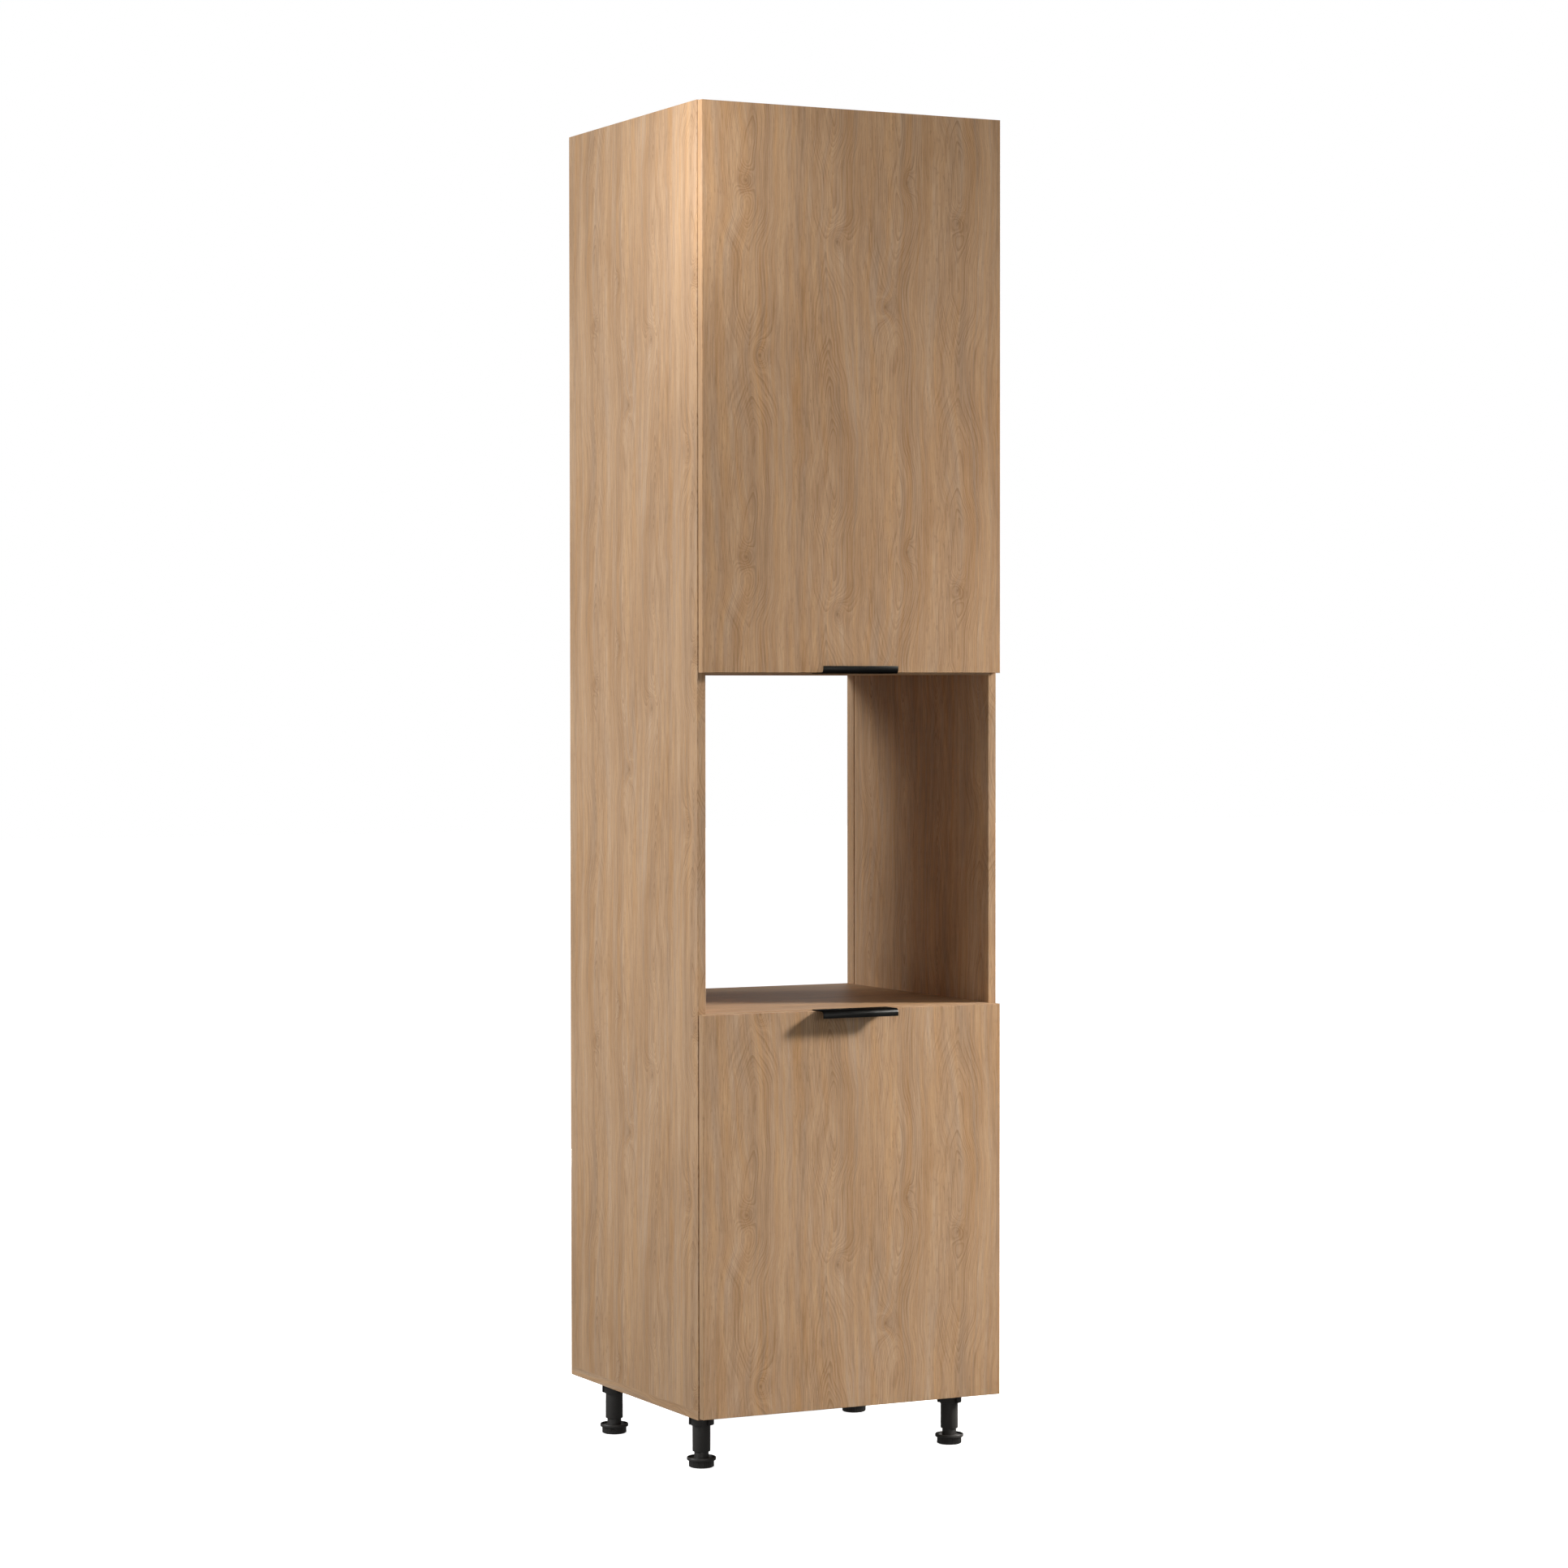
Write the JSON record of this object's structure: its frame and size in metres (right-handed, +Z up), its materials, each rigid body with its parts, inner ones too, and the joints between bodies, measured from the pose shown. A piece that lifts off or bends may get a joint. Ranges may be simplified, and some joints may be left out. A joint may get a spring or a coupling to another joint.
{
  "type": "tall microwave cabinet",
  "caption": "Tall kitchen cabinet on levelling legs with an open microwave niche between a lower and an upper hinged door, each with a black edge handle.",
  "frame": {"origin": "middle of the bounding box at floor level", "axes": "+Z up, -Y to the front where the doors are, +X to the right seen from the front"},
  "size_m": [0.6, 0.595, 2.41],
  "materials": {
    "oak_decor": "light oak decor with fine pores, satin",
    "hdf_back": "smooth pale hardboard",
    "beech": "plain beech",
    "black_metal": "matt black powder coat",
    "black_plastic": "black moulded plastic",
    "nickel": "nickel-plated",
    "zinc": "zinc-plated",
    "clear_bumper": "soft pale bumper"
  },
  "bodies": {
    "carcass": {"bottom_panel": "oak_decor", "bottom_screws": "zinc", "cam_bolts": "zinc", "cam_housings": "zinc", "dowels": "beech", "front_left_leg_collar": "black_plastic", "front_left_leg_tube": "black_plastic", "front_right_leg_collar": "black_plastic", "front_right_leg_tube": "black_plastic", "left_side_panel": "oak_decor", "lower_back_panel": "hdf_back", "lower_hinge_arms": "nickel", "lower_hinge_plate_screws": "zinc", "lower_hinge_plates": "nickel", "lower_shelf_1": "oak_decor", "niche_floor_panel": "oak_decor", "niche_top_panel": "oak_decor", "rear_left_leg_collar": "black_plastic", "rear_left_leg_tube": "black_plastic", "rear_right_leg_collar": "black_plastic", "rear_right_leg_tube": "black_plastic", "right_side_panel": "oak_decor", "shelf_pins": "zinc", "top_panel": "oak_decor", "upper_back_panel": "hdf_back", "upper_hinge_arms": "nickel", "upper_hinge_plate_screws": "zinc", "upper_hinge_plates": "nickel", "upper_shelf_1": "oak_decor", "upper_shelf_2": "oak_decor", "wall_bracket_screws": "zinc", "wall_brackets": "zinc"},
    "lower_door": {"lower_door": "oak_decor", "lower_handle": "black_metal", "lower_handle_screws": "zinc", "lower_door_bumpers": "clear_bumper", "lower_hinge_cups": "nickel"},
    "lower_outer_links": {"lower_hinge_outer_links": "nickel"},
    "lower_inner_links": {"lower_hinge_inner_links": "nickel"},
    "upper_door": {"upper_door": "oak_decor", "upper_handle": "black_metal", "upper_handle_screws": "zinc", "upper_door_bumpers": "clear_bumper", "upper_hinge_cups": "nickel"},
    "upper_outer_links": {"upper_hinge_outer_links": "nickel"},
    "upper_inner_links": {"upper_hinge_inner_links": "nickel"},
    "front_left_foot": {"front_left_foot": "black_plastic"},
    "front_right_foot": {"front_right_foot": "black_plastic"},
    "rear_left_foot": {"rear_left_foot": "black_plastic"},
    "rear_right_foot": {"rear_right_foot": "black_plastic"}
  },
  "joints": [
    {"name": "lower_outer_link_turn", "type": "hinge", "parent": "carcass", "child": "lower_outer_links", "pos_m": [-0.263, -0.2405, 0], "axis": [0, 0, 1], "range_deg": [0, 38.6]},
    {"name": "lower_door_swing", "type": "hinge", "parent": "lower_outer_links", "child": "lower_door", "pos_m": [-0.2868, -0.2576, 0], "axis": [0, 0, -1], "range_deg": [0, 138.5]},
    {"name": "lower_inner_link_turn", "type": "hinge", "parent": "carcass", "child": "lower_inner_links", "pos_m": [-0.2505, -0.251, 0], "axis": [0, 0, 1], "range_deg": [0, 36.7]},
    {"name": "upper_outer_link_turn", "type": "hinge", "parent": "carcass", "child": "upper_outer_links", "pos_m": [-0.263, -0.2405, 0], "axis": [0, 0, 1], "range_deg": [0, 38.6]},
    {"name": "upper_door_swing", "type": "hinge", "parent": "upper_outer_links", "child": "upper_door", "pos_m": [-0.2868, -0.2576, 0], "axis": [0, 0, -1], "range_deg": [0, 138.5]},
    {"name": "upper_inner_link_turn", "type": "hinge", "parent": "carcass", "child": "upper_inner_links", "pos_m": [-0.2505, -0.251, 0], "axis": [0, 0, 1], "range_deg": [0, 36.7]},
    {"name": "front_left_foot_level", "type": "slide", "parent": "carcass", "child": "front_left_foot", "axis": [0, 0, 1], "range_m": [-0.02, 0.0095]},
    {"name": "front_right_foot_level", "type": "slide", "parent": "carcass", "child": "front_right_foot", "axis": [0, 0, 1], "range_m": [-0.02, 0.0095]},
    {"name": "rear_left_foot_level", "type": "slide", "parent": "carcass", "child": "rear_left_foot", "axis": [0, 0, 1], "range_m": [-0.02, 0.0095]},
    {"name": "rear_right_foot_level", "type": "slide", "parent": "carcass", "child": "rear_right_foot", "axis": [0, 0, 1], "range_m": [-0.02, 0.0095]}
  ],
  "couplings": [
    {"joint": "lower_outer_link_turn", "follows": "lower_door_swing", "ratio": 0.27798},
    {"joint": "lower_inner_link_turn", "follows": "lower_door_swing", "ratio": 0.26426},
    {"joint": "upper_outer_link_turn", "follows": "upper_door_swing", "ratio": 0.27798},
    {"joint": "upper_inner_link_turn", "follows": "upper_door_swing", "ratio": 0.26426}
  ]
}
